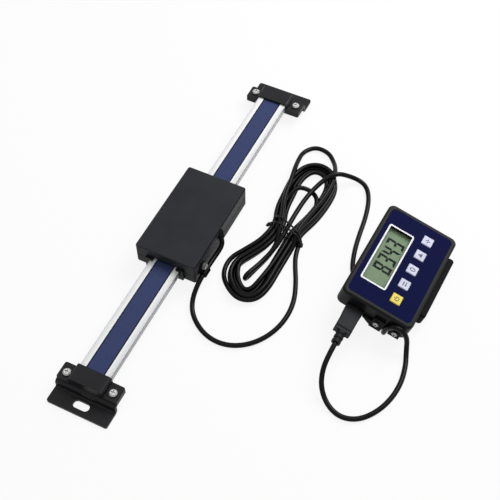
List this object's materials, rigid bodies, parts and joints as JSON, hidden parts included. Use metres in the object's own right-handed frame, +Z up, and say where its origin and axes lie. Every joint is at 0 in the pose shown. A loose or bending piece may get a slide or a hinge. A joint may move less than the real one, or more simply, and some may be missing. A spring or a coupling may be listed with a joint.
{
  "type": "digital linear scale",
  "caption": "Aluminium measuring beam on stepped end brackets with a sliding reader box, joined by a coiled cable to a separate tilted display with a window and press keys.",
  "frame": {"origin": "midway between the two end brackets, on the plane that their flanges and the display stand on", "axes": "+X across the beam towards the display, +Y along the beam, +Z up"},
  "size_m": [0.2002, 0.3142, 0.0308],
  "materials": {
    "anodised_aluminium": "satin anodised",
    "strip_steel": "fine ground",
    "printed_film": "smooth printed film",
    "black_steel": "black satin coat",
    "charcoal_plastic": "fine moulded texture",
    "black_plastic": "satin moulded",
    "shoe_plastic": "smooth sliding plastic",
    "bright_screw": "nickel plated",
    "board_green": "solder mask",
    "cable_jacket": "satin",
    "tie_plastic": "coated wire",
    "overlay_blue": "semi-gloss printed sheet",
    "clear_pane": "clear",
    "lcd_glass": "reflective grey-green",
    "white_plastic": "smooth",
    "yellow_plastic": "smooth",
    "contact_steel": "plated sheet"
  },
  "bodies": {
    "scale": {"beam": "anodised_aluminium", "scale_strip": "strip_steel", "beam_film": "printed_film", "far_bracket": "black_steel", "near_bracket": "black_steel", "far_cap": "charcoal_plastic", "near_cap": "charcoal_plastic", "cap_screws": "bright_screw", "display_lead": "cable_jacket", "cable_hank": "cable_jacket", "cable_tie": "tie_plastic", "display_cradle": "black_plastic", "display_front": "black_plastic", "display_back": "black_plastic", "case_screws": "bright_screw", "overlay": "overlay_blue", "window_pane": "clear_pane", "lcd_panel": "lcd_glass", "lcd_carrier": "white_plastic", "display_board": "board_green", "key_switches": "black_plastic", "battery_door": "black_plastic", "coin_cell": "contact_steel", "cell_contact": "contact_steel", "usb_socket": "contact_steel", "plug_shell": "contact_steel", "plug_body": "black_plastic", "plug_relief": "black_plastic", "cradle_screws": "bright_screw"},
    "reader": {"reader_cover": "charcoal_plastic", "reader_base": "charcoal_plastic", "reader_screws": "bright_screw", "sensor_board": "board_green", "right_shoe": "shoe_plastic", "left_shoe": "shoe_plastic", "cable_grommet": "black_plastic", "cable_clip": "black_plastic", "clip_screw": "bright_screw", "lead_exit": "cable_jacket", "reader_lead": "cable_jacket"},
    "absolute_key": {"absolute_key": "white_plastic"},
    "set_key": {"set_key": "white_plastic"},
    "zero_key": {"zero_key": "white_plastic"},
    "unit_key": {"unit_key": "white_plastic"},
    "power_key": {"power_key": "yellow_plastic"}
  },
  "joints": [
    {"name": "reader_slide", "type": "slide", "parent": "scale", "child": "reader", "axis": [0, 1, 0], "range_m": [-0.0895, 0.0895], "deforming": ["reader_lead"]},
    {"name": "absolute_key_press", "type": "slide", "parent": "scale", "child": "absolute_key", "axis": [-0.2213, 0.0097, -0.9751], "range_m": [0, 0.0004], "stiffness_N_per_m": 1500, "springref_m": -0.0004},
    {"name": "set_key_press", "type": "slide", "parent": "scale", "child": "set_key", "axis": [-0.2213, 0.0097, -0.9751], "range_m": [0, 0.0004], "stiffness_N_per_m": 1500, "springref_m": -0.0004},
    {"name": "zero_key_press", "type": "slide", "parent": "scale", "child": "zero_key", "axis": [-0.2213, 0.0097, -0.9751], "range_m": [0, 0.0004], "stiffness_N_per_m": 1500, "springref_m": -0.0004},
    {"name": "unit_key_press", "type": "slide", "parent": "scale", "child": "unit_key", "axis": [-0.2213, 0.0097, -0.9751], "range_m": [0, 0.0004], "stiffness_N_per_m": 1500, "springref_m": -0.0004},
    {"name": "power_key_press", "type": "slide", "parent": "scale", "child": "power_key", "axis": [-0.2213, 0.0097, -0.9751], "range_m": [0, 0.0004], "stiffness_N_per_m": 1500, "springref_m": -0.0004}
  ]
}
